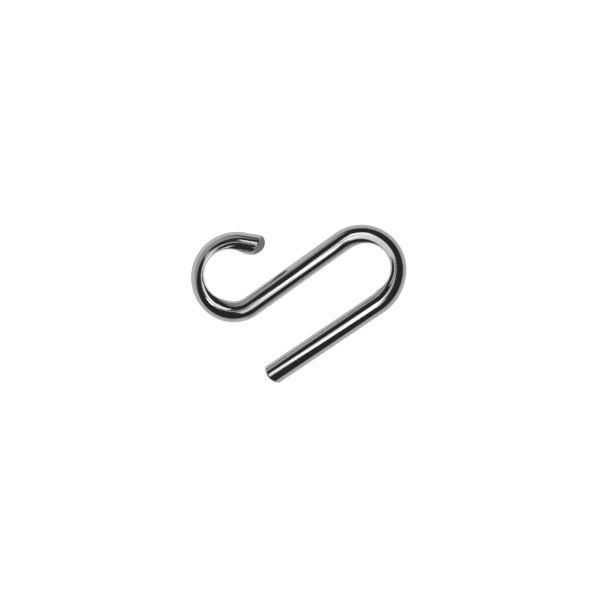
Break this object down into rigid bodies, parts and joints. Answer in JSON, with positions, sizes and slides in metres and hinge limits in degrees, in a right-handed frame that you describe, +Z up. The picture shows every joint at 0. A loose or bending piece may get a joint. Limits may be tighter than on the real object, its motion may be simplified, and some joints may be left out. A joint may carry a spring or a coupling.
{
  "type": "u-hook",
  "caption": "Round-wire steel hook lying flat: straight leg, U-bend, shank, and an open eye curled outwards at the far end.",
  "frame": {"origin": "centre of the U-bend's crown, in the plane of the wire's centreline, where the axis of a rod in the hook passes", "axes": "+X out of the U-bend, in line with the straight leg; +Y from the leg towards the shank and the eye; +Z up, square to the plane of the hook"},
  "size_m": [0.0463, 0.0365, 0.005],
  "materials": {
    "steel": "bright polished"
  },
  "bodies": {
    "root": {"hook": "steel"}
  },
  "joints": []
}
